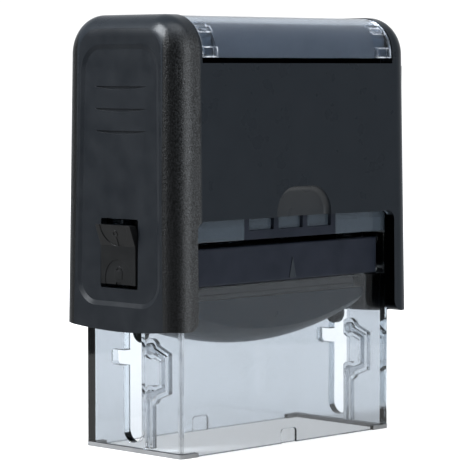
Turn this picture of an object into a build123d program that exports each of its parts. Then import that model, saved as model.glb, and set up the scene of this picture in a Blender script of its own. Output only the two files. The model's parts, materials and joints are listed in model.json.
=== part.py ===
from build123d import *

import math
import os

# Self-inking stamp, in millimetres. X runs along its long side, the front faces -Y, Z is up.
# The origin is the middle of its footprint, and the cap stands at its raised, resting height.

# Clear base
BASE_LENGTH = 63.2
BASE_DEPTH = 28.3
BASE_WALL = 1.8
BASE_TOP = 51.0
BASE_CORNER = 0.8
BASE_LIFT = 0.1
DECK_TOP = 48.0
DECK_THICKNESS = 1.8
SLOT_WIDTH = 5.3
SLOT_FLOOR = 2.0
SLOT_IN = 27.8
FOOT_HEIGHT = 0.87
FOOT_PROUD = 0.05
FOOT_RETURN = 4.9

# Cap
CAP_LENGTH = 71.6
CAP_DEPTH = 35.0
CAP_BOTTOM = 25.15
RIM_HEIGHT = 26.0
CAP_TOP = 89.4
CAP_DRAFT = 0.8
CAP_CORNER = 4.4
CAP_SHOULDER = 8.0
CAP_WALL = 1.9
CAVITY_STEP = 78.0
CEILING = 84.5
OPENING_LENGTH = 59.6
OPENING_TOP = 47.9
PILLAR_BACK = 14.5

# Motion
AXIS_HEIGHT = 27.25
RUNNING_GAP = 0.05
TRUNNION_RADIUS = 1.6

# Die carrier, foam and rubber die
CARRIER_LENGTH = 55.2
CARRIER_DEPTH = 18.4
CARRIER_TOP = 31.0
KEEL_DROP = 6.75
KEEL_RISE = 4.8
HULL_RISE = 3.7
DIE_LENGTH = 50.0
DIE_DEPTH = 18.0
DIE_FACE = AXIS_HEIGHT + 6.7
DIE_RELIEF = 0.6
FOAM_THICKNESS = 1.2

# Ink cartridge
FELT_FACE = 34.7
FELT_LENGTH = 52.0
FELT_DEPTH = 19.2
FELT_THICKNESS = 3.6
TRAY_BOTTOM = 36.0
TRAY_LENGTH = 55.4
TRAY_BACK = 11.9
TRAY_TOP = 40.3
PLATE_LENGTH = 55.0
PLATE_BOTTOM = 34.4
PLATE_TOP = 42.1
CARTRIDGE_MOUTH = (34.2, 43.4)

# Index window on top of the cap
WINDOW_LENGTH = 57.2
WINDOW_SHIFT = 0.7
WINDOW_EDGE = 80.65
WINDOW_INSET = 0.2
WINDOW_THICKNESS = 1.2
RECESS_EDGE = 79.65
GROOVE_TOP = 80.9
GROOVE_INSET = 3.4
RECESS_DEPTH = 1.9
CARD_THICKNESS = 0.4
CARD_LENGTH = 48.0
TAB_LENGTH = 4.2

# Side panels and lock rockers
PANEL_THICKNESS = 1.0
PANEL_TOP = 86.5
ROCKER_WIDTH = 10.2
ROCKER_HOLE = (11.0, 33.9, 48.1)
HINGE_OUT = 33.6
HINGE_HEIGHT = 36.2
PIN_RADIUS = 0.8
HOOK_Y = (2.9, 4.9)
HOOK_Z = (39.3, 41.6)
HOOK_TIP = 31.9

# Yoke and spring
YOKE_BOTTOM = 22.4
YOKE_THICKNESS = 1.2
YOKE_OUTER = 29.4
YOKE_WIDTH = 4.6
BRIDGE_THICKNESS = 2.0
BRIDGE_DEPTH = 16.0
SPRING_RADIUS = 6.0
WIRE_RADIUS = 0.55
SPRING_TURNS = 8.5
SPIGOT_RADIUS = 4.6
SPIGOT_HEIGHT = 4.0

# Worked out from the sizes above
BASE_HALF_LENGTH = BASE_LENGTH / 2
BASE_HALF_DEPTH = BASE_DEPTH / 2
BASE_INNER_LENGTH = BASE_LENGTH - 2 * BASE_WALL
BASE_INNER_DEPTH = BASE_DEPTH - 2 * BASE_WALL
CAP_HEIGHT = CAP_TOP - CAP_BOTTOM
DRAFT_ANGLE = math.degrees(math.atan(CAP_DRAFT / CAP_HEIGHT))
BRIDGE_BOTTOM = CEILING - BRIDGE_THICKNESS
SIDES = {"left": -1, "right": 1}
PAST = 1.0

os.makedirs("parts", exist_ok=True)


def save(piece, name):
    """Label a finished piece and write its STEP file."""
    piece.part.label = name
    export_step(piece.part, f"parts/{name}.step")


def box_between(low, high, mode=Mode.ADD):
    """A box from its lowest corner to its highest corner, in the builder around it."""
    size = [b - a for a, b in zip(low, high)]
    middle = tuple((a + b) / 2 for a, b in zip(low, high))
    with Locations(middle):
        Box(*size, mode=mode)


def mirrored(low, high, side):
    """The same box on the left or the right: low and high are given for the right-hand side."""
    xs = sorted((side * low[0], side * high[0]))
    return (xs[0], low[1], low[2]), (xs[1], high[1], high[2])


def side_plane(side, inward=0.0):
    """The cap's slightly leaning side face: local x is side * Y, local y climbs from its lower edge."""
    lean = math.radians(DRAFT_ANGLE)
    normal = Vector(side * math.cos(lean), 0, math.sin(lean))
    foot = Vector(side * CAP_LENGTH / 2, 0, CAP_BOTTOM) - normal * inward
    return Plane(origin=foot, x_dir=(0, side, 0), z_dir=normal)


def cap_profile(inset=0.0):
    """The cap's front-to-back outline, drawn in from its surface by an inset."""
    low, high = CAP_DEPTH / 2, CAP_DEPTH / 2 - CAP_DRAFT
    with BuildSketch(Plane.YZ) as outline:
        Polygon(
            (-low, CAP_BOTTOM), (low, CAP_BOTTOM), (high, CAP_TOP), (-high, CAP_TOP), align=None
        )
        fillet(outline.vertices().group_by(Axis.Y)[-1], CAP_SHOULDER)
        if inset:
            offset(amount=-inset, kind=Kind.INTERSECTION)
    return outline.sketch


def saddle(length, outer_inset, inner_inset, lowest, highest=CAP_TOP + 2):
    """A strip that follows the cap's top between two insets, from a lowest edge to a highest one."""
    with BuildPart() as strip:
        extrude(cap_profile(outer_inset), amount=length / 2, both=True)
        extrude(cap_profile(inner_inset), amount=length / 2 + PAST, both=True, mode=Mode.SUBTRACT)
        low = (-length, -CAP_DEPTH, CAP_BOTTOM - PAST)
        box_between(low, (length, CAP_DEPTH, lowest), mode=Mode.SUBTRACT)
        high = (length, CAP_DEPTH, 2 * CAP_TOP)
        box_between((-length, -CAP_DEPTH, highest), high, mode=Mode.SUBTRACT)
    return Pos(WINDOW_SHIFT, 0, 0) * strip.part


# ---------------------------------------------------------------------------- clear base

INNER_X = BASE_INNER_LENGTH / 2
INNER_Y = BASE_INNER_DEPTH / 2
TRACK_WIDTH = 1.1
TRACK_DEPTH = 0.3
RIDGE_WIDTH = 2.7
RIDGE_PROUD = 1.1
POCKET_RADIUS = 1.2
POCKET_RIDGE = 2.1
TRACK_POINTS = [(-4.2, 21.6), (-8.2, 20.0), (-8.2, 13.6), (-4.2, 12.0)]
GUIDE_WIDTH = 0.8
GUIDE_RIDGE = 2.2
GUIDE_Y = -3.8
GUIDE_FOOT = 1.2
MARK_WIDTH = 4.6
MARK_HEIGHT = 3.1
MARK_DEPTH = 0.5
LOCK_NOTCHES = [(17.7, 20.8), (37.4, 42.2)]
LOCK_NOTCH_Y = (2.1, 6.3)
RAIL_IN = 26.6
RAILS = [(34.6, 35.9), (40.5, 42.0)]
COMB_LENGTH = 27.8
COMB_SHIFT = 0.45
COMB_DEPTH = 0.9

with BuildPart() as base_frame:
    with BuildSketch(Plane.XY.offset(BASE_LIFT)):
        RectangleRounded(BASE_LENGTH, BASE_DEPTH, BASE_CORNER)
    extrude(amount=BASE_TOP - BASE_LIFT)
    # the hollow below the deck, and the tray-shaped well above it
    for floor, roof in ((-PAST, DECK_TOP - DECK_THICKNESS), (DECK_TOP, BASE_TOP + PAST)):
        box_between((-INNER_X, -INNER_Y, floor), (INNER_X, INNER_Y, roof), mode=Mode.SUBTRACT)
    # curved cam track between ridges on the inside of each end wall, with a straight guide below it
    pocket_foot = TRACK_POINTS[-1][1]
    ridge = (RIDGE_WIDTH, POCKET_RIDGE, GUIDE_RIDGE, INNER_X - RIDGE_PROUD, INNER_X + BASE_WALL / 3)
    channel = (TRACK_WIDTH, POCKET_RADIUS, GUIDE_WIDTH, INNER_X - PAST, INNER_X + TRACK_DEPTH)
    for relief, mode in ((ridge, Mode.ADD), (channel, Mode.SUBTRACT)):
        track_width, pocket_radius, guide_width, near, far = relief
        for side in SIDES.values():
            with BuildSketch(Plane.YZ.offset(side * near)) as track:
                with BuildLine():
                    Polyline(*TRACK_POINTS)
                trace(line_width=track_width)
                with Locations(TRACK_POINTS[0], TRACK_POINTS[-1]):
                    Circle(pocket_radius)
                with Locations((GUIDE_Y, (pocket_foot + GUIDE_FOOT) / 2)):
                    Rectangle(guide_width, pocket_foot - GUIDE_FOOT)
            extrude(amount=side * (far - near), mode=mode)
    # spigot that keeps the spring in the middle
    with BuildSketch(Plane.XY.offset(DECK_TOP)):
        Circle(SPIGOT_RADIUS)
    extrude(amount=SPIGOT_HEIGHT)
    # rails that the ink cartridge slides in, above and below its edges
    for side in SIDES.values():
        for floor, roof in RAILS:
            low, high = (RAIL_IN, -INNER_Y, floor), (INNER_X, INNER_Y, roof)
            box_between(*mirrored(low, high, side))
    # mouth for the cartridge in the front wall, and the shallow seat of its retainer
    floor, roof = CARTRIDGE_MOUTH
    mouth = (-INNER_X, -BASE_HALF_DEPTH - PAST, floor), (INNER_X, -INNER_Y, roof)
    box_between(*mouth, mode=Mode.SUBTRACT)
    seat_low = (COMB_SHIFT - COMB_LENGTH / 2, -BASE_HALF_DEPTH - PAST, roof - PAST)
    seat_high = (COMB_SHIFT + COMB_LENGTH / 2, -BASE_HALF_DEPTH + COMB_DEPTH, BASE_TOP + PAST)
    box_between(seat_low, seat_high, mode=Mode.SUBTRACT)
    for side in SIDES.values():
        # open slot beside the yoke's leg, round at its foot, cut back through the rails and the deck
        with BuildSketch(Plane.YZ.offset(side * SLOT_IN)):
            with Locations((0, (SLOT_FLOOR + BASE_TOP + PAST) / 2)):
                RectangleRounded(SLOT_WIDTH, BASE_TOP + PAST - SLOT_FLOOR, SLOT_WIDTH / 2 - 0.01)
            with Locations((0, BASE_TOP)):
                Rectangle(SLOT_WIDTH, 2 * SLOT_WIDTH)
        extrude(amount=side * 3 * BASE_WALL, mode=Mode.SUBTRACT)
        # square windows that the rocker's hook drops into, with one corner cut off
        for floor, roof in LOCK_NOTCHES:
            with BuildSketch(Plane.YZ.offset(side * (INNER_X - PAST))) as notch:
                with Locations((sum(LOCK_NOTCH_Y) / 2, (floor + roof) / 2)):
                    Rectangle(LOCK_NOTCH_Y[1] - LOCK_NOTCH_Y[0], roof - floor)
                chamfer(notch.vertices().group_by(Axis.Y)[0].sort_by(Axis.X)[-1], 0.6)
            extrude(amount=side * 3 * BASE_WALL, mode=Mode.SUBTRACT)
        # the ends of the lower edge are cut away for the foot strips
        low = (BASE_HALF_LENGTH - FOOT_RETURN, -BASE_DEPTH, -PAST)
        high = (BASE_LENGTH, BASE_DEPTH, FOOT_HEIGHT)
        box_between(*mirrored(low, high, side), mode=Mode.SUBTRACT)
    # shallow sighting marks at the middle of both long lower edges
    for face in (-1, 1):
        with BuildSketch(Plane.XZ.offset(face * (BASE_HALF_DEPTH - MARK_DEPTH))) as sight:
            with Locations((0, BASE_LIFT)):
                Rectangle(MARK_WIDTH, 2 * MARK_HEIGHT)
            fillet(sight.vertices().group_by(Axis.Y)[-1], 0.8)
        extrude(amount=face * BASE_WALL, mode=Mode.SUBTRACT)
save(base_frame, "base_frame")

for name, side in SIDES.items():
    with BuildPart() as foot_strip:
        low = (BASE_HALF_LENGTH - FOOT_RETURN, -BASE_HALF_DEPTH - FOOT_PROUD, 0)
        high = (BASE_HALF_LENGTH + FOOT_PROUD, BASE_HALF_DEPTH + FOOT_PROUD, FOOT_HEIGHT)
        box_between(*mirrored(low, high, side))
        ends = foot_strip.edges().filter_by(Axis.Z).sort_by(Axis.X)
        fillet(ends[:2] if side < 0 else ends[-2:], BASE_CORNER)
        hollow_low, hollow_high = (0, -INNER_Y, -PAST), (INNER_X, INNER_Y, PAST)
        box_between(*mirrored(hollow_low, hollow_high, side), mode=Mode.SUBTRACT)
    save(foot_strip, f"{name}_foot_strip")

# Retainer comb above the cartridge: two rails joined by four bars
COMB_BAR = 1.4
COMB_BARS = 4
COMB_RAIL = 1.85
COMB_FIT = 0.05
comb_floor = CARTRIDGE_MOUTH[1]
comb_window = (COMB_LENGTH - 2 * COMB_FIT - COMB_BARS * COMB_BAR) / (COMB_BARS - 1)
with BuildPart() as pad_retainer:
    comb_end = COMB_LENGTH / 2 - COMB_FIT
    low = (COMB_SHIFT - comb_end, -BASE_HALF_DEPTH, comb_floor)
    high = (COMB_SHIFT + comb_end, -BASE_HALF_DEPTH + COMB_DEPTH, BASE_TOP)
    box_between(low, high)
    window_height = BASE_TOP - comb_floor - 2 * COMB_RAIL
    with BuildSketch(Plane.XZ.offset(BASE_HALF_DEPTH + PAST)):
        with Locations((COMB_SHIFT, comb_floor + COMB_RAIL + window_height / 2)):
            with GridLocations(comb_window + COMB_BAR, 1, COMB_BARS - 1, 1):
                RectangleRounded(comb_window, window_height, 0.3)
    extrude(amount=-2 * PAST - COMB_DEPTH, mode=Mode.SUBTRACT)
save(pad_retainer, "pad_retainer")

# ---------------------------------------------------------------------------- ink cartridge

ARROW_X = 0.9
ARROW_WIDTH = 2.0
ARROW_HEIGHT = 4.3
ARROW_PROUD = 0.2
plate_back = -INNER_Y
with BuildPart() as ink_cartridge_tray:
    box_between((-TRAY_LENGTH / 2, plate_back, TRAY_BOTTOM), (TRAY_LENGTH / 2, TRAY_BACK, TRAY_TOP))
    fillet(ink_cartridge_tray.edges().filter_by(Axis.Z).group_by(Axis.Y)[-1], 1.0)
    with Locations((0, 0, TRAY_BOTTOM)):
        Box(FELT_LENGTH, FELT_DEPTH, 2 * (FELT_FACE + FELT_THICKNESS - TRAY_BOTTOM), mode=Mode.SUBTRACT)
    # front plate, with a small raised arrowhead that shows which way up it goes in
    plate_low = (-PLATE_LENGTH / 2, -BASE_HALF_DEPTH, PLATE_BOTTOM)
    box_between(plate_low, (PLATE_LENGTH / 2, plate_back, PLATE_TOP))
    front_edges = ink_cartridge_tray.faces().sort_by(Axis.Y)[0].edges()
    fillet(front_edges, 0.35)
    with BuildSketch(Plane.XZ.offset(BASE_HALF_DEPTH - ARROW_PROUD)):
        arrow_foot = PLATE_BOTTOM + 0.5
        Polygon(
            (ARROW_X - ARROW_WIDTH / 2, arrow_foot),
            (ARROW_X + ARROW_WIDTH / 2, arrow_foot),
            (ARROW_X, arrow_foot + ARROW_HEIGHT),
            align=None,
        )
    extrude(amount=2 * ARROW_PROUD)
save(ink_cartridge_tray, "ink_cartridge_tray")

with BuildPart() as ink_felt_pad:
    with BuildSketch(Plane.XY.offset(FELT_FACE)):
        RectangleRounded(FELT_LENGTH - 0.1, FELT_DEPTH - 0.1, 0.5)
    extrude(amount=FELT_THICKNESS)
save(ink_felt_pad, "ink_felt_pad")

# ---------------------------------------------------------------------------- die carrier

CAM_PEG_RADIUS = 1.5
CAM_PEG_OUT = 4.2
CAM_PEG_LENGTH = 0.6
GATE_MARK = (0.2, 27.0)
keel_radius = ((CARRIER_LENGTH / 2) ** 2 + KEEL_RISE**2) / (2 * KEEL_RISE)
keel_low = AXIS_HEIGHT - KEEL_DROP
with BuildPart() as die_carrier:
    # boat-shaped hull: a rounded section carried round a large circle above it
    with BuildSketch(Plane.YZ):
        with BuildLine():
            half = CARRIER_DEPTH / 2
            crease = keel_low + HULL_RISE
            ThreePointArc((-half, crease), (0, keel_low), (half, crease))
            Polyline(
                (half, crease),
                (half, CARRIER_TOP + KEEL_DROP),
                (-half, CARRIER_TOP + KEEL_DROP),
                (-half, crease),
            )
        make_face()
    revolve(axis=Axis((0, 0, keel_low + keel_radius), (0, 1, 0)))
    with Locations((0, 0, CARRIER_TOP - CARRIER_DEPTH / 2)):
        Box(CARRIER_LENGTH, 2 * CARRIER_DEPTH, CARRIER_DEPTH, mode=Mode.INTERSECT)
    # small round mark left by the mould on the front
    with Locations(Plane.XZ.offset(CARRIER_DEPTH / 2) * Pos(*GATE_MARK, 0)):
        Cylinder(radius=0.6, height=0.4, mode=Mode.SUBTRACT)
    for side in SIDES.values():
        with BuildSketch(Plane.YZ.offset(side * CARRIER_LENGTH / 2)):
            with Locations((0, AXIS_HEIGHT)):
                Circle(TRUNNION_RADIUS)
        extrude(amount=side * (YOKE_OUTER - CARRIER_LENGTH / 2))
        with BuildSketch(Plane.YZ.offset(side * CARRIER_LENGTH / 2)):
            with Locations((-CAM_PEG_OUT, AXIS_HEIGHT), (CAM_PEG_OUT, AXIS_HEIGHT)):
                Circle(CAM_PEG_RADIUS)
        extrude(amount=side * CAM_PEG_LENGTH)
save(die_carrier, "die_carrier")

with BuildPart() as die_foam:
    with BuildSketch(Plane.XY.offset(CARRIER_TOP)):
        Rectangle(DIE_LENGTH, DIE_DEPTH)
    extrude(amount=FOAM_THICKNESS)
save(die_foam, "die_foam")

# Rubber die: a sheet with a plain border and rows of blank bars where the text would be
BORDER_WIDTH = 0.7
BAR_HEIGHT = 2.0
BAR_LENGTHS = [36.0, 42.0, 28.0]
BAR_PITCH = 4.4
sheet_bottom = CARRIER_TOP + FOAM_THICKNESS
with BuildPart() as rubber_die:
    with BuildSketch(Plane.XY.offset(sheet_bottom)):
        Rectangle(DIE_LENGTH, DIE_DEPTH)
    extrude(amount=DIE_FACE - DIE_RELIEF - sheet_bottom)
    with BuildSketch(Plane.XY.offset(DIE_FACE - DIE_RELIEF)):
        Rectangle(DIE_LENGTH - 1, DIE_DEPTH - 1)
        inner_length = DIE_LENGTH - 1 - 2 * BORDER_WIDTH
        Rectangle(inner_length, DIE_DEPTH - 1 - 2 * BORDER_WIDTH, mode=Mode.SUBTRACT)
        for row, bar_length in enumerate(BAR_LENGTHS):
            with Locations((0, (1 - row) * BAR_PITCH)):
                RectangleRounded(bar_length, BAR_HEIGHT, 0.4)
    extrude(amount=DIE_RELIEF)
save(rubber_die, "rubber_die")

# ---------------------------------------------------------------------------- cap

BOW_HALF = 15.0
with BuildPart() as cap_blank:
    extrude(cap_profile(), amount=CAP_LENGTH, both=True)
    with BuildSketch(Plane.XZ):
        low, high = CAP_LENGTH / 2, CAP_LENGTH / 2 - CAP_DRAFT
        Polygon(
            (-low, CAP_BOTTOM), (low, CAP_BOTTOM), (high, CAP_TOP), (-high, CAP_TOP), align=None
        )
    extrude(amount=CAP_DEPTH, both=True, mode=Mode.INTERSECT)
    end_faces = cap_blank.faces().group_by(Axis.X)
    end_edges = [end_faces[0][0].edges(), end_faces[-1][0].edges()]
    for edges in end_edges:
        fillet(edges.sort_by(Axis.Z)[1:], CAP_CORNER)
    # the lower edge is level at the front and back, and bowed down a little along each side
    with BuildSketch(Plane.YZ.offset(-CAP_LENGTH)):
        with BuildLine():
            Polyline(
                (-BOW_HALF, RIM_HEIGHT),
                (-CAP_DEPTH, RIM_HEIGHT),
                (-CAP_DEPTH, CAP_BOTTOM - PAST),
                (CAP_DEPTH, CAP_BOTTOM - PAST),
                (CAP_DEPTH, RIM_HEIGHT),
                (BOW_HALF, RIM_HEIGHT),
            )
            ThreePointArc((BOW_HALF, RIM_HEIGHT), (0, CAP_BOTTOM), (-BOW_HALF, RIM_HEIGHT))
        make_face()
    extrude(amount=2 * CAP_LENGTH, mode=Mode.SUBTRACT)

PANEL_HALF_BOTTOM = 13.3
PANEL_HALF_TOP = 12.0
PANEL_CORNER = 5.0
FIELD_BOTTOM = (11.4, 31.2)
FIELD_TOP = (10.4, 82.4)
FIELD_CORNER = 4.5
FIELD_SLOPE = 70.0
PANEL_RECESS = 0.35
GROOVE_LENGTH = 15.2
GROOVE_SAG = 0.7
GROOVE_DEPTH = 0.35
GROOVE_HEIGHTS = [65.9, 70.4, 74.9]


def panel_stock(side):
    """The part of the cap's side that lies outside the panel seat, before anything is cut in it."""
    seat = side_plane(side, inward=PANEL_THICKNESS)
    with BuildPart() as stock:
        with BuildSketch(seat) as outline:
            Polygon(
                (-PANEL_HALF_BOTTOM, -PAST),
                (PANEL_HALF_BOTTOM, -PAST),
                (PANEL_HALF_TOP, PANEL_TOP - CAP_BOTTOM),
                (-PANEL_HALF_TOP, PANEL_TOP - CAP_BOTTOM),
                align=None,
            )
            fillet(outline.vertices().group_by(Axis.Y)[-1], PANEL_CORNER)
        extrude(amount=2 * PANEL_THICKNESS)
        add(cap_blank.part, mode=Mode.INTERSECT)
    return stock.part


def rocker_opening(side, depth):
    """The rectangular hole in the cap's side that the rocker works in."""
    width, floor, roof = ROCKER_HOLE
    with BuildSketch(side_plane(side, inward=depth)) as hole:
        with Locations((0, (floor + roof) / 2 - CAP_BOTTOM)):
            RectangleRounded(width, roof - floor, 0.4)
    extrude(hole.sketch, amount=2 * depth, mode=Mode.SUBTRACT)


EAR_LENGTH = 1.8
EAR_IN = 32.3
EAR_HALF_HEIGHT = 1.4
SCOOP_X = 1.4
SCOOP_WIDTH = 16.4
SCOOP_TOP = 54.1
SCOOP_CORNER = 5.6
SCOOP_DEPTH = 1.3
SCOOP_SOFTNESS = 1.1
JAMB_FOOT = 2.4
TAB_ROOM = 0.5
POCKET_BACK = 14.0
POCKET_TOP = 84.6
pin_half = ROCKER_HOLE[0] / 2 + EAR_LENGTH - 0.3
with BuildPart() as housing_shell:
    add(cap_blank.part)
    # main hollow, and the narrower hollow that the yoke's bridge sits in
    with BuildSketch(Plane.XY.offset(CAP_BOTTOM - PAST)):
        RectangleRounded(CAP_LENGTH - 2 * CAP_WALL, CAP_DEPTH - 2 * CAP_WALL, CAP_CORNER - CAP_WALL)
    extrude(amount=CAVITY_STEP - CAP_BOTTOM + PAST, taper=DRAFT_ANGLE, mode=Mode.SUBTRACT)
    with BuildSketch(Plane.XY.offset(CAVITY_STEP - PAST)):
        RectangleRounded(CAP_LENGTH - 3 * CAP_WALL, BRIDGE_DEPTH + 4, CAP_WALL)
    extrude(amount=CEILING - CAVITY_STEP + PAST, mode=Mode.SUBTRACT)
    # thick pillars beside the front opening, then the opening itself
    for side in SIDES.values():
        pillar_top = CAVITY_STEP + PAST
        low = (OPENING_LENGTH / 2, -CAP_DEPTH / 2 + CAP_WALL, RIM_HEIGHT)
        high = (CAP_LENGTH / 2 - CAP_WALL, -PILLAR_BACK, pillar_top)
        box_between(*mirrored(low, high, side))
    with BuildSketch(Plane.XZ.offset(PILLAR_BACK - PAST)) as opening:
        with Locations((0, (CAP_BOTTOM - PAST + OPENING_TOP) / 2)):
            Rectangle(OPENING_LENGTH, OPENING_TOP - CAP_BOTTOM + PAST)
        fillet(opening.vertices().group_by(Axis.Y)[-1], 2.0)
    extrude(amount=CAP_DEPTH, mode=Mode.SUBTRACT)
    rim_edges = housing_shell.edges().filter_by(Axis.Y)
    rim_edges = rim_edges.filter_by_position(Axis.Z, RIM_HEIGHT - 0.01, RIM_HEIGHT + 0.01)
    jamb = OPENING_LENGTH / 2 + 0.01
    fillet(rim_edges.filter_by_position(Axis.X, -jamb, jamb), JAMB_FOOT)
    # finger scoop above the opening, with a softly rounded floor
    face_y = CAP_DEPTH / 2 - CAP_DRAFT * (OPENING_TOP - CAP_BOTTOM) / CAP_HEIGHT
    with BuildPart(mode=Mode.PRIVATE) as scoop_tool:
        with BuildSketch(Plane.XZ.offset(face_y - SCOOP_DEPTH)) as scoop:
            with Locations((SCOOP_X, OPENING_TOP)):
                Rectangle(SCOOP_WIDTH, 2 * (SCOOP_TOP - OPENING_TOP))
            fillet(scoop.vertices(), SCOOP_CORNER)
        extrude(amount=2 * SCOOP_DEPTH)
        floor_edges = scoop_tool.faces().sort_by(Axis.Y)[-1].edges()
        fillet(floor_edges, SCOOP_SOFTNESS)
    add(scoop_tool.part, mode=Mode.SUBTRACT)
    # seat for the index card and window, over the top from front to back
    seat_length = WINDOW_LENGTH + 0.4
    add(saddle(seat_length, -PAST, RECESS_DEPTH, RECESS_EDGE), mode=Mode.SUBTRACT)
    # deep shadow groove along the window's lower edges, and pockets for its lower snap tabs
    add(saddle(seat_length, -PAST, GROOVE_INSET, RECESS_EDGE, GROOVE_TOP), mode=Mode.SUBTRACT)
    for end in (-1, 1):
        for face in (-1, 1):
            xs = (end * (seat_length / 2 - TAB_LENGTH - TAB_ROOM), end * seat_length / 2)
            ys = sorted((face * POCKET_BACK, face * CAP_DEPTH / 2))
            low = (min(xs) + WINDOW_SHIFT, ys[0], RECESS_EDGE)
            high = (max(xs) + WINDOW_SHIFT, ys[1], POCKET_TOP)
            box_between(low, high, mode=Mode.SUBTRACT)
    for side in SIDES.values():
        add(panel_stock(side), mode=Mode.SUBTRACT)
        # ears that hold the rocker's pin, one on each side of the hole
        for end in (-1, 1):
            ys = sorted((end * ROCKER_HOLE[0] / 2, end * (ROCKER_HOLE[0] / 2 + EAR_LENGTH)))
            low = (EAR_IN, ys[0], HINGE_HEIGHT - EAR_HALF_HEIGHT)
            high = (HINGE_OUT + PIN_RADIUS, ys[1], HINGE_HEIGHT + EAR_HALF_HEIGHT)
            box_between(*mirrored(low, high, side))
        rocker_opening(side, 3 * CAP_WALL)
        with BuildSketch(Plane.XZ.offset(-pin_half)):
            with Locations((side * HINGE_OUT, HINGE_HEIGHT)):
                Circle(PIN_RADIUS)
        extrude(amount=2 * pin_half, mode=Mode.SUBTRACT)
save(housing_shell, "housing_shell")

for name, side in SIDES.items():
    with BuildPart() as side_panel:
        add(panel_stock(side))
        # shallow sunk field with sloping edges
        (low_half, floor), (high_half, roof) = FIELD_BOTTOM, FIELD_TOP
        with BuildSketch(side_plane(side, inward=PANEL_RECESS)) as field:
            Polygon(
                (-low_half, floor - CAP_BOTTOM),
                (low_half, floor - CAP_BOTTOM),
                (high_half, roof - CAP_BOTTOM),
                (-high_half, roof - CAP_BOTTOM),
                align=None,
            )
            fillet(field.vertices(), FIELD_CORNER)
        extrude(amount=PANEL_RECESS + 0.02, taper=-FIELD_SLOPE, mode=Mode.SUBTRACT)
        # three grip grooves, straight above and bowed below
        for height in GROOVE_HEIGHTS:
            with BuildSketch(side_plane(side, inward=PANEL_RECESS + GROOVE_DEPTH)):
                with BuildLine():
                    start = (-GROOVE_LENGTH / 2, height - CAP_BOTTOM)
                    end = (GROOVE_LENGTH / 2, height - CAP_BOTTOM)
                    Line(start, end)
                    ThreePointArc(start, (0, height - CAP_BOTTOM - GROOVE_SAG), end)
                make_face()
            extrude(amount=PANEL_THICKNESS, mode=Mode.SUBTRACT)
        rocker_opening(side, 3 * CAP_WALL)
    save(side_panel, f"{name}_side_panel")

with BuildPart() as index_card:
    card_outer = WINDOW_INSET + WINDOW_THICKNESS + RUNNING_GAP
    add(saddle(CARD_LENGTH, card_outer, card_outer + CARD_THICKNESS, WINDOW_EDGE))
save(index_card, "index_card")

# The window has snap tabs under each end: thick ones low down, thin ones on the shoulder
TAB_BANDS = [(80.8, 82.75, 1.0), (85.8, 87.0, 0.4)]
window_inner = WINDOW_INSET + WINDOW_THICKNESS
half_clear = WINDOW_LENGTH / 2 - 0.2 - TAB_LENGTH
with BuildPart() as window_tabs:
    for floor, roof, thickness in TAB_BANDS:
        add(saddle(WINDOW_LENGTH - 0.4, window_inner - 0.2, window_inner + thickness, floor, roof))
    clear_low = (WINDOW_SHIFT - half_clear, -CAP_DEPTH, 0)
    clear_high = (WINDOW_SHIFT + half_clear, CAP_DEPTH, CAP_TOP)
    box_between(clear_low, clear_high, mode=Mode.SUBTRACT)

with BuildPart() as index_window:
    add(saddle(WINDOW_LENGTH, WINDOW_INSET, window_inner, WINDOW_EDGE))
    add(window_tabs.part)
save(index_window, "index_window")

# ---------------------------------------------------------------------------- rockers

ROCKER_POINTS = {
    "bottom": (35.55, 34.75),
    "kink": (35.6, 42.6),
    "top": (37.2, 46.9),
    "top_inside": (35.5, 46.9),
    "waist_inside": (33.6, 42.4),
    "hub_top": (32.2, 38.0),
    "hub_bottom": (32.2, 34.75),
}
DIMPLE_RADIUS = 3.9
DIMPLE_DEPTH = 0.12
ICON_PROUD = 0.1
FINGER_NOTCH = 1.6


def open_icon():
    """A plain key shape: a ring on a stem."""
    with BuildSketch() as icon:
        with Locations((0, 0.4)):
            Circle(0.75)
            Circle(0.4, mode=Mode.SUBTRACT)
        with Locations((0, -1.3)):
            Rectangle(0.4, 2.2)
    return icon.sketch


def lock_icon():
    """A plain padlock shape: a body under a shackle."""
    with BuildSketch() as icon:
        with Locations((0, 1.0)):
            Circle(0.85)
            Circle(0.5, mode=Mode.SUBTRACT)
        with Locations((0, 0.1)):
            Rectangle(2.2, 1.7)
    return icon.sketch


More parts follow.
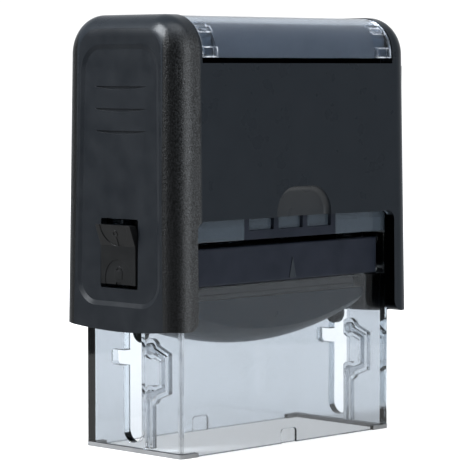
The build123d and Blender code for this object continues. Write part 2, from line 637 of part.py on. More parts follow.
for name, side in SIDES.items():
    with BuildPart() as lock_rocker:
        outline_points = [(side * out, height) for out, height in ROCKER_POINTS.values()]
        with BuildSketch(Plane.XZ.offset(-ROCKER_WIDTH / 2)):
            with BuildLine():
                Polyline(*outline_points, close=True)
            make_face()
        extrude(amount=ROCKER_WIDTH)
        # shallow round fingertip fields, one on each half of the outer face
        fields = (("kink", "top", 46.2, 44.6, open_icon), ("bottom", "kink", 35.9, 36.6, lock_icon))
        for low_key, high_key, centre_height, icon_height, icon in fields:
            (u0, z0), (u1, z1) = ROCKER_POINTS[low_key], ROCKER_POINTS[high_key]
            slope = (u1 - u0) / (z1 - z0)
            out = u0 + slope * (centre_height - z0)
            normal = Vector(side, 0, -slope)
            face = Plane(origin=(side * out, 0, centre_height), x_dir=(0, side, 0), z_dir=normal)
            with BuildSketch(face.offset(-DIMPLE_DEPTH)):
                Circle(DIMPLE_RADIUS)
            extrude(amount=1.5 * DIMPLE_DEPTH, mode=Mode.SUBTRACT)
            mark_plane = face.offset(-DIMPLE_DEPTH) * Pos(0, icon_height - centre_height, 0)
            extrude(mark_plane * icon(), amount=ICON_PROUD)
        # small notch at the foot
        foot_out, foot_height = ROCKER_POINTS["bottom"]
        with Locations((side * foot_out, 0, foot_height)):
            Box(FINGER_NOTCH / 2, FINGER_NOTCH, FINGER_NOTCH / 2, mode=Mode.SUBTRACT)
        # hook that reaches in to the base
        low, high = (HOOK_TIP, HOOK_Y[0], HOOK_Z[0]), (HINGE_OUT, HOOK_Y[1], HOOK_Z[1])
        box_between(*mirrored(low, high, side))
        with BuildSketch(Plane.XZ.offset(-ROCKER_WIDTH)):
            with Locations((side * HINGE_OUT, HINGE_HEIGHT)):
                Circle(PIN_RADIUS + RUNNING_GAP)
        extrude(amount=2 * ROCKER_WIDTH, mode=Mode.SUBTRACT)
    save(lock_rocker, f"{name}_lock_rocker")

    with BuildPart() as rocker_pin:
        with BuildSketch(Plane.XZ.offset(-pin_half)):
            with Locations((side * HINGE_OUT, HINGE_HEIGHT)):
                Circle(PIN_RADIUS)
        extrude(amount=2 * pin_half)
    save(rocker_pin, f"{name}_rocker_pin")

# ---------------------------------------------------------------------------- yoke and spring

with BuildPart() as yoke:
    box_between((-YOKE_OUTER, -BRIDGE_DEPTH / 2, BRIDGE_BOTTOM), (YOKE_OUTER, BRIDGE_DEPTH / 2, CEILING))
    with BuildSketch(Plane.XY.offset(BRIDGE_BOTTOM)):
        Circle(SPIGOT_RADIUS)
    extrude(amount=-SPIGOT_HEIGHT)
    for side in SIDES.values():
        with BuildSketch(Plane.YZ.offset(side * YOKE_OUTER)):
            tip = YOKE_BOTTOM + YOKE_WIDTH / 2
            with Locations((0, (tip + BRIDGE_BOTTOM) / 2)):
                Rectangle(YOKE_WIDTH, BRIDGE_BOTTOM - tip)
            with Locations((0, tip)):
                Circle(YOKE_WIDTH / 2)
            with Locations((0, AXIS_HEIGHT)):
                Circle(TRUNNION_RADIUS + RUNNING_GAP, mode=Mode.SUBTRACT)
        extrude(amount=-side * YOKE_THICKNESS)
save(yoke, "yoke")

spring_low = DECK_TOP + WIRE_RADIUS + RUNNING_GAP
spring_high = BRIDGE_BOTTOM - WIRE_RADIUS - RUNNING_GAP
spring_height = spring_high - spring_low
with BuildPart() as main_spring:
    with BuildLine() as coil:
        Helix(
            pitch=spring_height / SPRING_TURNS,
            height=spring_height,
            radius=SPRING_RADIUS,
            center=(0, 0, spring_low),
        )
    with BuildSketch(Plane(origin=coil.line @ 0, z_dir=coil.line % 0)):
        Circle(WIRE_RADIUS)
    sweep(path=coil.line, is_frenet=True)
save(main_spring, "main_spring")
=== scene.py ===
import json
import math

import bmesh
import bpy
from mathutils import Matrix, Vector, noise


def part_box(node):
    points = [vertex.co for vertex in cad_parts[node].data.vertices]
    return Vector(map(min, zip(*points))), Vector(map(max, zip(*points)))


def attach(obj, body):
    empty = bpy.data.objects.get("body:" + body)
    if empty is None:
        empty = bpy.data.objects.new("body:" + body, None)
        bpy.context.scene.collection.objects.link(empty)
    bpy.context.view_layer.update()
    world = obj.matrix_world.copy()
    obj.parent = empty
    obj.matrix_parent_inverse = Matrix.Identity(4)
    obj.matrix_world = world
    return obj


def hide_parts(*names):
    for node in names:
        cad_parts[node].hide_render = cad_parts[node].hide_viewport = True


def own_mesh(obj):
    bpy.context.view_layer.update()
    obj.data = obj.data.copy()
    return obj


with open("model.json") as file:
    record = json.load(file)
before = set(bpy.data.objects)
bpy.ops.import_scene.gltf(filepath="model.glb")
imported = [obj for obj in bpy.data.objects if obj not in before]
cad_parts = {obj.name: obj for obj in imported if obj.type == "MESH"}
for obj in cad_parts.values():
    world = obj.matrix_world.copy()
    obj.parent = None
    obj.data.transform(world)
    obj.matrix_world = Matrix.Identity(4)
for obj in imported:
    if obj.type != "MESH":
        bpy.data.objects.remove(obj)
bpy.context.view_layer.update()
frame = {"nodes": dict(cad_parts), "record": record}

MM = 0.001


def new_object(name, data):
    """An object in the scene that holds the given mesh, camera or light."""
    made = bpy.data.objects.new(name, data)
    bpy.context.scene.collection.objects.link(made)
    return made


# ---------------------------------------------------------------------------- camera

CAMERA_YAW = math.radians(45.484)
CAMERA_PITCH = math.radians(3.884)
CAMERA_DISTANCE = 0.531954
CAMERA_SHIFT = (-0.829 * MM, -2.294 * MM)
CAMERA_TARGET = Vector((0, 0, 0.045))
SENSOR = 36.0
FOCAL_LENGTH = 189.97
NEAREST, FARTHEST = 0.01, 20

back = Vector(
    (
        -math.sin(CAMERA_YAW) * math.cos(CAMERA_PITCH),
        -math.cos(CAMERA_YAW) * math.cos(CAMERA_PITCH),
        math.sin(CAMERA_PITCH),
    )
)
right = Vector((math.cos(CAMERA_YAW), -math.sin(CAMERA_YAW), 0))
up = back.cross(right)
camera_data = bpy.data.cameras.new("camera")
camera_data.sensor_width = SENSOR
camera_data.lens = FOCAL_LENGTH
camera_data.clip_start = NEAREST
camera_data.clip_end = FARTHEST
camera = new_object("camera", camera_data)
camera.location = (
    CAMERA_TARGET + back * CAMERA_DISTANCE + right * CAMERA_SHIFT[0] + up * CAMERA_SHIFT[1]
)
camera.rotation_mode = "QUATERNION"
camera.rotation_quaternion = (-back).to_track_quat("-Z", "Y")
bpy.context.scene.camera = camera
bpy.context.scene.view_settings.view_transform = "Standard"

# ---------------------------------------------------------------------------- node helpers


class Nodes:
    """A node tree, emptied, with a short call for adding and joining nodes."""

    def __init__(self, tree):
        self.nodes = tree.nodes
        self.links = tree.links
        self.nodes.clear()

    def add(self, kind, inputs=(), **settings):
        node = self.nodes.new(kind)
        for key, value in settings.items():
            setattr(node, key, value)
        for key, value in dict(inputs).items():
            if isinstance(value, bpy.types.NodeSocket):
                self.links.new(value, node.inputs[key])
            else:
                node.inputs[key].default_value = value
        return node


class Tree(Nodes):
    """A material and its node tree. place is the point in the object's own metres."""

    def __init__(self, name):
        self.material = bpy.data.materials.new(name)
        self.material.use_nodes = True
        super().__init__(self.material.node_tree)
        self.output = self.add("ShaderNodeOutputMaterial")
        self.place = self.add("ShaderNodeTexCoord").outputs["Object"]

    def split(self, vector):
        """The X, Y and Z of a vector."""
        return tuple(self.add("ShaderNodeSeparateXYZ", {0: vector}).outputs)

    def noise(self, size, detail=2.0, roughness=0.5, stretch=(1, 1, 1)):
        """Noise whose features are about size metres across, longer where stretch is under 1."""
        place = self.place
        if stretch != (1, 1, 1):
            place = self.add("ShaderNodeMapping", {"Vector": place, "Scale": stretch}).outputs[0]
        inputs = {"Vector": place, "Scale": 1 / size, "Detail": detail, "Roughness": roughness}
        return self.add("ShaderNodeTexNoise", inputs).outputs["Fac"]

    def cells(self, size):
        inputs = {"Vector": self.place, "Scale": 1 / size}
        return self.add("ShaderNodeTexVoronoi", inputs).outputs["Distance"]

    def remap(self, value, low, high, out_low, out_high):
        """A value from low to high becomes one from out_low to out_high, held at the ends."""
        inputs = {0: value, 1: low, 2: high, 3: out_low, 4: out_high}
        return self.add("ShaderNodeMapRange", inputs).outputs[0]

    def rising(self, value, border):
        """0 below the border and 1 above it. A border is where the change starts and ends."""
        return self.remap(value, *border, 0, 1)

    def falling(self, value, border):
        """1 below the border and 0 above it."""
        return self.remap(value, *border, 1, 0)

    def maths(self, operation, a, b=0.0):
        return self.add("ShaderNodeMath", {0: a, 1: b}, operation=operation).outputs[0]

    def product(self, first, *others):
        for other in others:
            first = self.maths("MULTIPLY", first, other)
        return first

    def invert(self, value):
        return self.maths("SUBTRACT", 1.0, value)

    def away(self, value, middle):
        """How far a value is from the middle, to either side."""
        return self.maths("ABSOLUTE", self.maths("SUBTRACT", value, middle))

    def mix_colour(self, factor, first, second):
        inputs = {"Factor": factor, 6: first, 7: second}
        return self.add("ShaderNodeMix", inputs, data_type="RGBA").outputs[2]

    def bump(self, height, distance, strength=1.0, normal=None):
        inputs = {"Height": height, "Distance": distance, "Strength": strength}
        if normal is not None:
            inputs["Normal"] = normal
        return self.add("ShaderNodeBump", inputs).outputs["Normal"]

    def soft_edge(self, radius):
        return self.add("ShaderNodeBevel", {"Radius": radius}, samples=4).outputs["Normal"]

    def finish(self, inputs, shader="ShaderNodeBsdfPrincipled"):
        surface = self.add(shader, inputs)
        self.links.new(surface.outputs[0], self.output.inputs["Surface"])
        return self.material


def grey(value, warm=0.0):
    """A linear colour, a little warm above zero and a little blue below."""
    return (value * (1 + warm), value, value * (1 - warm), 1)


def window_span():
    """The middle and the half length of the index window along X."""
    low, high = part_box("index_window")
    return (low.x + high.x) / 2, (high.x - low.x) / 2


# ---------------------------------------------------------------------------- materials

ACRYLIC_IOR = 1.49
WHITE = (1, 1, 1, 1)
# painted light: the pale slate given to the cap's black hollow and to the seat under the window
PALE_SLATE = (0.115, 0.142, 0.172, 1)

# borders on the cap, each where a change starts and ends
GRAIN_FROM_X = (28.4 * MM, 29.0 * MM)
GRAIN_FROM_Y = (12.4 * MM, 12.8 * MM)
GRAIN_BELOW_Z = (84 * MM, 88 * MM)
LEFT_OF_X = (-1 * MM, 1 * MM)
# where the painted sheen on the grained corners gives way to a painted dark reflection
PAINTED_SHEEN_TO_X = (31.7 * MM, 34.6 * MM)
GLOSSIER_FROM_X = (30 * MM, 34 * MM)
FACING_OUT = (-0.9, -0.5)
HOLLOW_TO_X = (29.3 * MM, 29.6 * MM)
HOLLOW_TO_Y = (15.8 * MM, 15.9 * MM)
HOLLOW_TO_Z = (78 * MM, 79 * MM)
# the gap under the window and the opening's jambs, which are painted black as painted shadow
GAP_FROM_Z = (79.5 * MM, 79.6 * MM)
GAP_TO_Z = (80.9 * MM, 81.1 * MM)
JAMB_FROM_Y = (14.3 * MM, 14.5 * MM)
# the finger scoop, whose floor is painted paler as painted light that fades downwards
SCOOP_MIDDLE_X = 1.4 * MM
SCOOP_HALF_X = (8.0 * MM, 8.3 * MM)
SCOOP_FROM_Y = (-17.0 * MM, -16.4 * MM)
SCOOP_TO_Y = (-15.9 * MM, -15.8 * MM)
SCOOP_SLOPE_Z = (44 * MM, 54 * MM)
SCOOP_TO_Z = (54.2 * MM, 54.6 * MM)

# borders on the other pieces
BASE_INSIDE_CAP_Z = (42.8 * MM, 43.4 * MM)
DIE_FACE_Z = (33.25 * MM, 33.6 * MM)
MARK_SOFTNESS = 0.04 * MM

# the window's snap tabs: heights as (middle, half), and their place from the window's end
TAB_HEIGHTS = [(81.8 * MM, 0.95 * MM), (86.4 * MM, 0.6 * MM)]
TAB_MIDDLE = 2.3 * MM
TAB_HALF = 2.0 * MM
TAB_LINE = (0.05 * MM, 0.22 * MM)


def plastic(name, dark, light, rough, grain_size, grain_height, level=0.14, mark=None):
    """Moulded plastic: slight mottling, a fine grain in its height and its gloss, and soft edges.

    mark is an axis, a distance from the middle along it, and the colour of what lies past that.
    """
    t = Tree(name)
    clouds = t.noise(4 * MM, detail=3)
    grain = t.noise(grain_size, detail=3, roughness=0.6)
    colour = t.mix_colour(t.remap(clouds, 0.3, 0.7, 0, 1), dark, light)
    if mark is not None:
        axis, start, paint = mark
        past = t.maths("ABSOLUTE", t.split(t.place)[axis])
        colour = t.mix_colour(t.rising(past, (start, start + MARK_SOFTNESS)), colour, paint)
    gloss = t.remap(t.maths("ADD", clouds, grain), 0.6, 1.4, rough - 0.04, rough + 0.05)
    normal = t.bump(grain, grain_height, normal=t.soft_edge(0.12 * MM))
    return t.finish(
        {"Base Color": colour, "Roughness": gloss, "Normal": normal, "Specular IOR Level": level}
    )


def shell_zones(t, x, y, z, off_x, off_y):
    """Where the cap is grained, where light is painted pale inside, where shadow is painted black and
    where light is painted on the scoop's floor.
    """
    facing = t.split(t.add("ShaderNodeTexCoord").outputs["Normal"])
    # the opening's jambs face inwards, so there the normal and the place have opposite signs
    outward = t.rising(t.product(facing[0], t.maths("SIGN", x)), FACING_OUT)
    corner = t.product(t.rising(off_x, GRAIN_FROM_X), t.rising(off_y, GRAIN_FROM_Y))
    corner = t.product(corner, t.falling(z, GRAIN_BELOW_Z), outward, t.falling(x, LEFT_OF_X))
    in_middle = t.falling(off_x, HOLLOW_TO_X)
    # painted light: the cap's hollow and the seat under the window are painted pale slate
    hollow = t.product(in_middle, t.falling(off_y, HOLLOW_TO_Y), t.falling(z, HOLLOW_TO_Z))
    middle_x, half_x = window_span()
    under_window = t.falling(t.away(x, middle_x), (half_x, half_x + 0.1 * MM))
    above_gap = t.rising(z, GAP_TO_Z)
    seat = t.product(under_window, above_gap)
    # painted shadow: the gap under the window's edge, painted black
    shadow_painted_black = t.product(t.rising(z, GAP_FROM_Z), t.invert(above_gap), under_window)
    # painted shadow: the opening's jambs, painted black
    jamb = t.product(t.invert(outward), t.invert(in_middle), t.rising(off_y, JAMB_FROM_Y))
    # painted light on the scoop's floor, paler towards its top
    scoop_painted_light = t.product(t.falling(t.away(x, SCOOP_MIDDLE_X), SCOOP_HALF_X), t.rising(y, SCOOP_FROM_Y))
    scoop_painted_light = t.product(scoop_painted_light, t.falling(y, SCOOP_TO_Y), t.remap(z, *SCOOP_SLOPE_Z, 0.35, 1))
    scoop_painted_light = t.product(scoop_painted_light, t.falling(z, SCOOP_TO_Z))
    return corner, t.maths("MAXIMUM", hollow, seat), t.maths("MAXIMUM", shadow_painted_black, jamb), scoop_painted_light


def shell_plastic():
    """The cap: spark-eroded grain down its left corners and smooth elsewhere.

    Its gaps and the opening's jambs are painted black as painted shadow, its hollow and the seat under
    the window a pale slate as painted light, and the finger scoop's floor a little paler than the face
    round it, as painted light that fades downwards. On the grained corners a painted sheen lightens
    the specks towards the front, and a painted dark reflection darkens them across the side.
    """
    t = Tree("grained_black")
    x, y, z = t.split(t.place)
    off_x, off_y = t.maths("ABSOLUTE", x), t.maths("ABSOLUTE", y)
    corner, painted_light_inside, shadow_painted_black, scoop_painted_light = shell_zones(t, x, y, z, off_x, off_y)
    grain = t.noise(0.30 * MM, detail=4, roughness=0.65)
    pits = t.cells(0.45 * MM)
    clouds = t.noise(5 * MM, detail=3)
    # painted sheen on the grain towards the front, and a painted dark reflection across the side
    painted_sheen = t.falling(off_x, PAINTED_SHEEN_TO_X)
    speck = t.mix_colour(painted_sheen, grey(0.007, -0.05), grey(0.034, -0.07))
    rough_colour = t.mix_colour(t.rising(grain, (0.42, 0.62)), grey(0.0015, -0.05), speck)
    smooth_colour = t.mix_colour(clouds, (0.0095, 0.0118, 0.0148, 1), (0.0125, 0.0152, 0.0187, 1))
    colour = t.mix_colour(corner, smooth_colour, rough_colour)
    # painted light: the scoop's floor a little paler than the face round it
    colour = t.mix_colour(scoop_painted_light, colour, (0.026, 0.0275, 0.029, 1))
    # painted light: pale slate in the cap's hollow and on the seat under the window
    colour = t.mix_colour(painted_light_inside, colour, PALE_SLATE)
    # painted shadow: black in the gap under the window and on the jambs
    colour = t.mix_colour(shadow_painted_black, colour, (0.0005, 0.0005, 0.0006, 1))
    rougher = t.remap(off_x, *GLOSSIER_FROM_X, 0.26, 0.02)
    gloss = t.maths("ADD", t.product(corner, rougher), t.remap(clouds, 0.3, 0.7, 0.27, 0.29))
    height = t.product(t.maths("ADD", grain, t.product(pits, 0.5)), corner)
    fine = t.product(t.noise(1.2 * MM), 0.03)
    normal = t.bump(t.maths("ADD", height, fine), 0.055 * MM, normal=t.soft_edge(0.15 * MM))
    # the painted sheen also raises the gloss level towards the front
    shine = t.product(corner, t.remap(painted_sheen, 0, 1, 0.0, 0.27))
    level = t.product(t.maths("ADD", shine, 0.16), t.invert(shadow_painted_black))
    return t.finish(
        {"Base Color": colour, "Roughness": gloss, "Normal": normal, "Specular IOR Level": level}
    )


def polish(t):
    """The faint flow waves of polished clear plastic, over softened edges."""
    return t.bump(t.noise(9 * MM, detail=1), 0.02 * MM, strength=0.4, normal=t.soft_edge(0.2 * MM))


def clear_plastic(name, tint, depth_tint, density, rough):
    """Polished clear plastic: a trace of handling haze and a tint that grows with depth."""
    t = Tree(name)
    # painted light: the part that stays inside the cap is painted a slate tone and lets less through,
    # so it reads lighter than the dark behind it
    inside = t.rising(t.split(t.place)[2], BASE_INSIDE_CAP_Z)
    haze = t.noise(2.5 * MM, detail=4, roughness=0.6, stretch=(1, 1, 0.35))
    depth = t.add("ShaderNodeVolumeAbsorption", {"Color": depth_tint, "Density": density})
    t.links.new(depth.outputs[0], t.output.inputs["Volume"])
    return t.finish(
        {
            "Base Color": t.mix_colour(inside, tint, (0.088, 0.111, 0.136, 1)),
            "Roughness": t.remap(haze, 0.35, 0.75, rough, rough + 0.05),
            "Normal": polish(t),
            "IOR": ACRYLIC_IOR,
            "Transmission Weight": t.remap(inside, 0, 1, 1.0, 0.55),
        }
    )


def window_plastic():
    """Smoke-tinted clear cover. The light that its snap tabs and ends catch is painted on."""
    t = Tree("tinted_window")
    x, _, z = t.split(t.place)
    middle_x, half_x = window_span()
    from_end = t.maths("SUBTRACT", half_x, t.away(x, middle_x))
    past_x = t.maths("SUBTRACT", t.away(from_end, TAB_MIDDLE), TAB_HALF)
    glow = t.remap(from_end, 0.1 * MM, 0.5 * MM, 0.5, 0)
    for centre_z, half_z in TAB_HEIGHTS:
        past_z = t.maths("SUBTRACT", t.away(z, centre_z), half_z)
        edge = t.maths("ABSOLUTE", t.maths("MAXIMUM", past_x, past_z))
        glow = t.maths("MAXIMUM", glow, t.falling(edge, TAB_LINE))
    flicker = t.remap(t.noise(1.5 * MM, detail=3), 0.35, 0.65, 0.1, 1)
    glow = t.product(glow, flicker)
    haze = t.noise(2.5 * MM, detail=4, roughness=0.6)
    return t.finish(
        {
            "Base Color": t.mix_colour(glow, (0.62, 0.68, 0.76, 1), (0.85, 0.87, 0.92, 1)),
            "Roughness": t.remap(haze, 0.35, 0.75, 0.06, 0.12),
            "Normal": polish(t),
            "IOR": ACRYLIC_IOR,
            "Transmission Weight": t.invert(t.product(glow, 0.6)),
        }
    )


def steel(name):
    """Drawn steel: fine lines round the wire and slightly uneven gloss."""
    t = Tree(name)
    lines = t.noise(0.5 * MM, detail=4, roughness=0.7, stretch=(1, 1, 6))
    colour = t.mix_colour(lines, (0.34, 0.34, 0.35, 1), (0.60, 0.60, 0.61, 1))
    gloss = t.remap(lines, 0.3, 0.7, 0.2, 0.38)
    normal = t.bump(lines, 0.01 * MM, strength=0.5)
    return t.finish({"Base Color": colour, "Roughness": gloss, "Normal": normal, "Metallic": 1.0})


def felt():
    """Wool felt soaked with ink: matted fibres, glossier where the ink stands."""
    t = Tree("ink_felt")
    fibres = t.noise(0.5 * MM, detail=6, roughness=0.75, stretch=(1, 0.3, 1))
    cross = t.noise(0.4 * MM, detail=6, roughness=0.75, stretch=(0.3, 1, 1))
    mat = t.maths("MAXIMUM", fibres, cross)
    pools = t.noise(6 * MM, detail=2)
    soaked, dry = (0.004, 0.004, 0.006, 1), (0.035, 0.035, 0.042, 1)
    colour = t.mix_colour(t.rising(mat, (0.45, 0.75)), soaked, dry)
    gloss = t.remap(pools, 0.4, 0.65, 0.55, 0.95)
    normal = t.bump(mat, 0.15 * MM)
    return t.finish(
        {"Base Color": colour, "Roughness": gloss, "Normal": normal, "Sheen Weight": 0.25}
    )


def foam_sheet():
    """Closed-cell foam with small round cells."""
    t = Tree("foam")
    cells = t.cells(0.5 * MM)
    clouds = t.noise(3 * MM)
    colour = t.mix_colour(t.rising(cells, (0.1, 0.6)), grey(0.055, -0.06), grey(0.022, -0.06))
    gloss = t.remap(clouds, 0.3, 0.7, 0.8, 0.95)
    normal = t.bump(t.invert(cells), 0.12 * MM)
    return t.finish({"Base Color": colour, "Roughness": gloss, "Normal": normal})


def die_rubber():
    """Engraved stamp rubber: dark grey, blackened by ink towards its printing face."""
    t = Tree("die_rubber")
    face = t.rising(t.split(t.place)[2], DIE_FACE_Z)
    stain = t.noise(4 * MM, detail=4, roughness=0.65)
    inked = t.maths("MAXIMUM", face, t.remap(stain, 0.5, 0.7, 0, 0.85))
    colour = t.mix_colour(inked, (0.040, 0.042, 0.046, 1), (0.008, 0.008, 0.011, 1))
    powder = t.noise(0.25 * MM, detail=4, roughness=0.7)
    gloss = t.remap(inked, 0, 1, 0.8, 0.42)
    normal = t.bump(powder, 0.02 * MM)
    return t.finish({"Base Color": colour, "Roughness": gloss, "Normal": normal})


def card_stock():
    """Slate-grey coated card: short fibres and a slight mottle."""
    t = Tree("index_card")
    fibres = t.noise(0.35 * MM, detail=5, roughness=0.7, stretch=(0.4, 1, 1))
    clouds = t.noise(7 * MM, detail=3)
    tone = t.maths("ADD", t.product(fibres, 0.6), t.product(clouds, 0.4))
    dark, light = (0.125, 0.135, 0.152, 1), (0.180, 0.193, 0.215, 1)
    colour = t.mix_colour(t.rising(tone, (0.35, 0.65)), dark, light)
    gloss = t.remap(clouds, 0.3, 0.7, 0.6, 0.75)
    normal = t.bump(fibres, 0.02 * MM)
    return t.finish({"Base Color": colour, "Roughness": gloss, "Normal": normal})


MATERIALS = {
    "grained_black": shell_plastic(),
    "smooth_slate": plastic(
        "smooth_slate",
        dark=(0.0052, 0.0064, 0.0082, 1),
        light=(0.0078, 0.0092, 0.0112, 1),
        rough=0.33,
        grain_size=0.5 * MM,
        grain_height=0.0015 * MM,
    ),
    "smooth_black": plastic(
        "smooth_black",
        dark=(0.009, 0.0115, 0.017, 1),
        light=(0.013, 0.0155, 0.023, 1),
        rough=0.32,
        grain_size=0.8 * MM,
        grain_height=0.001 * MM,
        # the raised arrow on the tray's front, painted paler as a painted highlight
        mark=(1, 14.18 * MM, (0.021, 0.025, 0.030, 1)),
    ),
    "inner_black": plastic(
        "inner_black",
        dark=(0.0080, 0.0185, 0.0300, 1),
        light=(0.0100, 0.0225, 0.0360, 1),
        rough=0.36,
        grain_size=0.4 * MM,
        grain_height=0.001 * MM,
        # the yoke's legs, whose tips show in the side slots, and the carrier's outermost ends
        mark=(0, 28.05 * MM, (0.0035, 0.0040, 0.0045, 1)),
    ),
    "rocker_black": plastic(
        "rocker_black",
        dark=grey(0.0040, -0.05),
        light=grey(0.006, -0.05),
        rough=0.36,
        grain_size=0.3 * MM,
        grain_height=0.012 * MM,
    ),
    "foot_grey": plastic(
        "foot_grey",
        dark=grey(0.14, -0.01),
        light=grey(0.18, -0.01),
        rough=0.5,
        grain_size=0.4 * MM,
        grain_height=0.006 * MM,
        level=0.5,
    ),
    "clear_plastic": clear_plastic(
        "clear_plastic",
        tint=(0.603, 0.626, 0.652, 1),
        depth_tint=(0.11, 0.27, 0.38, 1),
        density=40.0,
        rough=0.02,
    ),
    "tinted_window": window_plastic(),
    "spring_steel": steel("spring_steel"),
    "pin_steel": steel("pin_steel"),
    "ink_felt": felt(),
    "foam": foam_sheet(),
    "die_rubber": die_rubber(),
    "index_card": card_stock(),
}

slot_of = {row["node"]: row["material_slot"] for row in frame["record"]["subparts"]}
for node_name, node_object in frame["nodes"].items():
    node_object.data.materials.clear()
    node_object.data.materials.append(MATERIALS[slot_of[node_name]])


def smooth_object(name, bm, slot_name):
    """An object with smooth shading from a finished bmesh, in the material of its slot."""
    mesh = bpy.data.meshes.new(name)
    bm.to_mesh(mesh)
    bm.free()
    mesh.polygons.foreach_set("use_smooth", [True] * len(mesh.polygons))
    mesh.materials.append(MATERIALS[slot_name])
    return new_object(name, mesh)


# ---------------------------------------------------------------------------- soft pieces

RIPPLE_SIZE = 3 * MM


def soft_block(name, node, slot_name, step, corner, crown, ripple):
    """A felt or foam block inside its CAD solid.

    Its edges are rounded by corner, its top and bottom swell by crown towards the middle, and
    ripple makes them slightly uneven.
    """
    low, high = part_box(node)
    centre, half = (low + high) / 2, (high - low) / 2
    counts = [max(4, round(2 * h / step)) for h in half]
    bm = bmesh.new()
    found = {}

    def vertex(key):
        if key not in found:
            share = [2 * k / n - 1 for k, n in zip(key, counts)]
            point = Vector([s * h for s, h in zip(share, half)])
            core = Vector([max(-h + corner, min(h - corner, p)) for h, p in zip(half, point)])
            out = point - core
            if out.length > 0:
                point = core + out.normalized() * corner
            middle = (1 - share[0] ** 4) * (1 - share[1] ** 4)
            uneven = 0.5 + 0.5 * noise.noise(point / RIPPLE_SIZE)
            sunk = crown * (1 - middle) + ripple * uneven
            if abs(share[2]) == 1:
                point.z -= math.copysign(sunk, share[2])
            found[key] = bm.verts.new(centre + point)
        return found[key]

    for axis in range(3):
        u, v = (axis + 1) % 3, (axis + 2) % 3
        for end in (0, counts[axis]):
            for i in range(counts[u]):
                for j in range(counts[v]):
                    keys = []
                    for di, dj in ((0, 0), (1, 0), (1, 1), (0, 1)):
                        key = [0, 0, 0]
                        key[axis], key[u], key[v] = end, i + di, j + dj
                        keys.append(tuple(key))
                    if end == 0:
                        keys.reverse()
                    bm.faces.new([vertex(k) for k in keys])
    bm.normal_update()
    made = smooth_object(name, bm, slot_name)
    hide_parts(node)
    return made


felt_pad = soft_block(
    "felt_pad",
    "ink_felt_pad",
    "ink_felt",
    step=0.6 * MM,
    corner=0.5 * MM,
    crown=0.12 * MM,
    ripple=0.05 * MM,
)
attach(felt_pad, "cartridge")
foam_layer = soft_block(
    "foam_layer",
    "die_foam",
    "foam",
    step=0.5 * MM,
    corner=0.2 * MM,
    crown=0.0,
    ripple=0.03 * MM,
)
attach(foam_layer, "carrier")

# ---------------------------------------------------------------------------- return spring

SPRING_WIRE = 0.55 * MM
SPRING_TURNS = 9.5
SPRING_RINGS = 48
WIRE_SIDES = 16
DEAD_TURNS = 1.1
DEAD_PITCH = 2 * SPRING_WIRE * 1.03


def spring_height(turn, low, high):
    """Height of the wire's middle after that many turns: the end turns lie flat against each other."""
    if turn < DEAD_TURNS:
        return low + DEAD_PITCH * turn
    if turn > SPRING_TURNS - DEAD_TURNS:
        return high - DEAD_PITCH * (SPRING_TURNS - turn)
    share = (turn - DEAD_TURNS) / (SPRING_TURNS - 2 * DEAD_TURNS)
    return low + DEAD_PITCH * DEAD_TURNS + share * (high - low - 2 * DEAD_PITCH * DEAD_TURNS)


def coil_spring():
    """The return spring as a round wire, attached to the base."""
    low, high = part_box("main_spring")
    middle_radius = (high.x - low.x) / 2 - SPRING_WIRE
    base, top = low.z + SPRING_WIRE, high.z - SPRING_WIRE
    bm = bmesh.new()
    rings = []
    steps = round(SPRING_TURNS * SPRING_RINGS)
    for i in range(steps + 1):
        turn = i / SPRING_RINGS
        angle = 2 * math.pi * turn
        outward = Vector((math.cos(angle), math.sin(angle), 0))
        centre = outward * middle_radius + Vector((0, 0, spring_height(turn, base, top)))
        ring = []
        for k in range(WIRE_SIDES):
            a = 2 * math.pi * k / WIRE_SIDES
            offset = outward * math.cos(a) + Vector((0, 0, math.sin(a)))
            ring.append(bm.verts.new(centre + offset * SPRING_WIRE))
        rings.append(ring)
    for first, second in zip(rings, rings[1:]):
        for k in range(WIRE_SIDES):
            n = (k + 1) % WIRE_SIDES
            bm.faces.new((first[k], first[n], second[n], second[k]))
    bm.faces.new(rings[0])
    bm.faces.new(rings[-1])
    bmesh.ops.recalc_face_normals(bm, faces=bm.faces)
    made = smooth_object("return_spring", bm, "spring_steel")
    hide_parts("main_spring")
    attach(made, "base")
    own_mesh(made)


coil_spring()

# ---------------------------------------------------------------------------- floor and light

FLOOR_HALF = 6.0
FLOOR_DROP = 0.02 * MM
FLOOR_PAINTED_SHADE_BORDER = (0.05, 0.35)
WALL_RADIUS = 5.0
CARD_RADIUS = 0.2
COOL_WHITE = (0.92, 0.96, 1)


def stage_object(name, mesh, material, hidden_from):
    """Part of the stage, which the named kinds of ray pass through."""
    mesh.materials.append(material)
    made = new_object(name, mesh)
    for ray in hidden_from:
        setattr(made, "visible_" + ray, False)
    return made


def shaped_mesh(name, build, **sizes):
    """A mesh from one of bmesh's ready shapes."""
    mesh = bpy.data.meshes.new(name)
    shape = bmesh.new()
    build(shape, **sizes)
    shape.to_mesh(mesh)
    shape.free()
    return mesh


def floor_paint():
    """Matt grey with a white glow of its own, weaker round the stamp than far from it: a painted shade
    round the stamp.
    """
    t = Tree("floor")
    from_middle = t.add("ShaderNodeVectorMath", {0: t.place}, operation="LENGTH").outputs["Value"]
    return t.finish(
        {
            "Base Color": (0.45, 0.45, 0.45, 1),
            "Roughness": 1.0,
            "Specular IOR Level": 0.0,
            "Emission Color": WHITE,
            # the glow is weaker near the stamp: a painted shade round it
            "Emission Strength": t.remap(from_middle, *FLOOR_PAINTED_SHADE_BORDER, 0.72, 1.05),
        }
    )


def white_glow(name, strength):
    return Tree(name).finish({"Color": WHITE, "Strength": strength}, "ShaderNodeEmission")


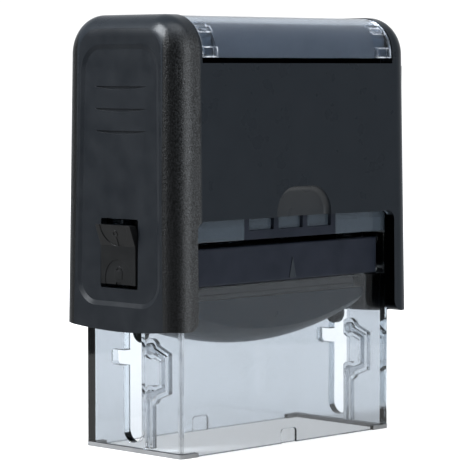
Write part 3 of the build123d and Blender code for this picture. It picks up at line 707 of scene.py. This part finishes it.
corners = [(-1, -1), (1, -1), (1, 1), (-1, 1)]
floor_mesh = bpy.data.meshes.new("floor")
floor_mesh.from_pydata(
    [(x * FLOOR_HALF, y * FLOOR_HALF, -FLOOR_DROP) for x, y in corners], [], [(0, 1, 2, 3)]
)
floor = stage_object("floor", floor_mesh, floor_paint(), ["glossy"])

# a plain white wall all round, which only the camera sees
wall = stage_object(
    "backdrop",
    shaped_mesh(
        "backdrop", bmesh.ops.create_uvsphere, u_segments=48, v_segments=24, radius=WALL_RADIUS
    ),
    white_glow("backdrop", 1.1),
    ["diffuse", "glossy", "transmission", "volume_scatter", "shadow"],
)

# a small bright card under the stamp, seen only in reflections
card = stage_object(
    "bounce_card",
    shaped_mesh(
        "bounce_card", bmesh.ops.create_circle, cap_ends=True, segments=48, radius=CARD_RADIUS
    ),
    white_glow("bounce_card", 0.9),
    ["camera", "diffuse", "transmission", "volume_scatter", "shadow"],
)
card.location.z = -2 * FLOOR_DROP


def softbox(name, bearing, climb, distance, width, height, power, aim=(0, 0, 0.05)):
    """A rectangular lamp that the camera can't see, turned towards the aim.

    bearing is in degrees from +X towards +Y, and climb in degrees above the aim.
    """
    level = math.cos(math.radians(climb))
    angle = math.radians(bearing)
    out = Vector((math.cos(angle) * level, math.sin(angle) * level, math.sin(math.radians(climb))))
    light = bpy.data.lights.new(name, "AREA")
    light.shape = "RECTANGLE"
    light.size, light.size_y = width, height
    light.energy = power
    light.color = COOL_WHITE
    lamp = new_object(name, light)
    lamp.location = Vector(aim) + out * distance
    lamp.rotation_mode = "QUATERNION"
    lamp.rotation_quaternion = out.to_track_quat("Z", "Y")
    lamp.visible_camera = False


softbox("top_light", bearing=-120, climb=75, distance=0.9, width=0.8, height=0.5, power=5.5)
softbox("left_strip", bearing=152, climb=22, distance=1.1, width=0.2, height=1.1, power=4.5)
softbox("left_spot", bearing=152, climb=39, distance=1.1, width=0.42, height=0.6, power=26.0)
softbox("right_strip", bearing=-84, climb=12, distance=1.1, width=0.7, height=0.8, power=9.0)

# a room that is bright behind the stamp, dimmer beside it and dark behind the camera
ROOM_DIMMEST = 0.07
ROOM_FALL_OFF = 3.0
world = bpy.data.worlds.new("studio")
bpy.context.scene.world = world
world.use_nodes = True
sky = Nodes(world.node_tree)
ahead = Vector((math.sin(CAMERA_YAW), math.cos(CAMERA_YAW), 0))
direction = sky.add("ShaderNodeTexCoord").outputs["Generated"]
spread = sky.add("ShaderNodeVectorMath", {0: direction, 1: ahead}, operation="DOT_PRODUCT")
for operation, first, second in (
    ("MULTIPLY_ADD", 0.5, 0.5),
    ("POWER", ROOM_FALL_OFF, 0.0),
    ("MULTIPLY_ADD", 1 - ROOM_DIMMEST, ROOM_DIMMEST),
):
    inputs = {0: spread.outputs["Value"], 1: first, 2: second}
    spread = sky.add("ShaderNodeMath", inputs, operation=operation, use_clamp=True)
room = {"Color": (*COOL_WHITE, 1), "Strength": spread.outputs["Value"]}
background = sky.add("ShaderNodeBackground", room)
sky.add("ShaderNodeOutputWorld", {"Surface": background.outputs[0]})
